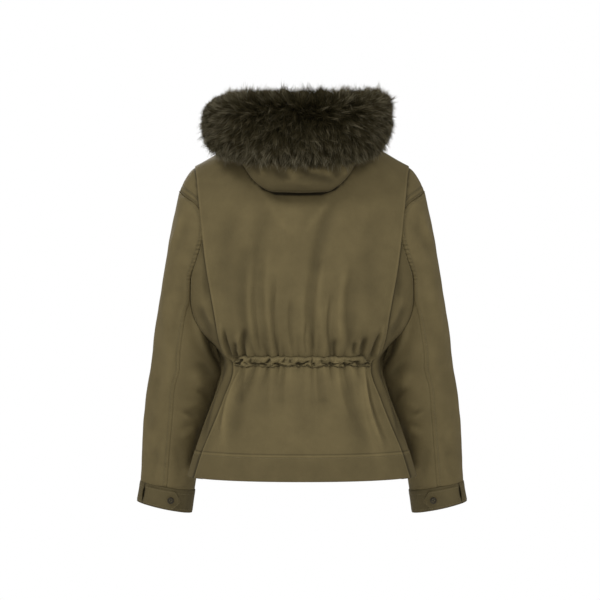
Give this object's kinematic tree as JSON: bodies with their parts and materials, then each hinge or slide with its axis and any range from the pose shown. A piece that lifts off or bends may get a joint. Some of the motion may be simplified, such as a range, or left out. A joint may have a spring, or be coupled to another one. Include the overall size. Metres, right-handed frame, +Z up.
{
  "type": "fur trimmed parka",
  "caption": "Short hooded parka in olive cotton, worn shape, with a thick fur trim, drop-shoulder sleeves, pleated back and a ruched drawstring waist.",
  "frame": {"origin": "midway between the shoulders at the base of the neck, where the wearer carries the coat", "axes": "front faces -Y, the wearer's left is +X, +Z up"},
  "size_m": [0.6282, 0.3508, 0.7919],
  "materials": {
    "olive_gabardine": "matte cotton gabardine",
    "olive_gabardine_trim": "matte cotton gabardine",
    "dark_olive_fur": "long soft fur",
    "dark_olive_button": "satin"
  },
  "bodies": {
    "root": {"back_panel": "olive_gabardine", "waist_casing": "olive_gabardine_trim", "front_placket": "olive_gabardine_trim", "placket_button_1": "dark_olive_button", "placket_button_2": "dark_olive_button", "placket_button_3": "dark_olive_button", "placket_button_4": "dark_olive_button", "placket_button_5": "dark_olive_button", "placket_button_6": "dark_olive_button", "side_back_left": "olive_gabardine", "front_left": "olive_gabardine", "sleeve_outer_left": "olive_gabardine", "sleeve_under_left": "olive_gabardine", "cuff_left": "olive_gabardine_trim", "cuff_tab_left": "olive_gabardine_trim", "cuff_button_left": "dark_olive_button", "side_back_right": "olive_gabardine", "front_right": "olive_gabardine", "sleeve_outer_right": "olive_gabardine", "sleeve_under_right": "olive_gabardine", "cuff_right": "olive_gabardine_trim", "cuff_tab_right": "olive_gabardine_trim", "cuff_button_right": "dark_olive_button", "hood": "olive_gabardine", "fur_trim": "dark_olive_fur"}
  },
  "joints": []
}
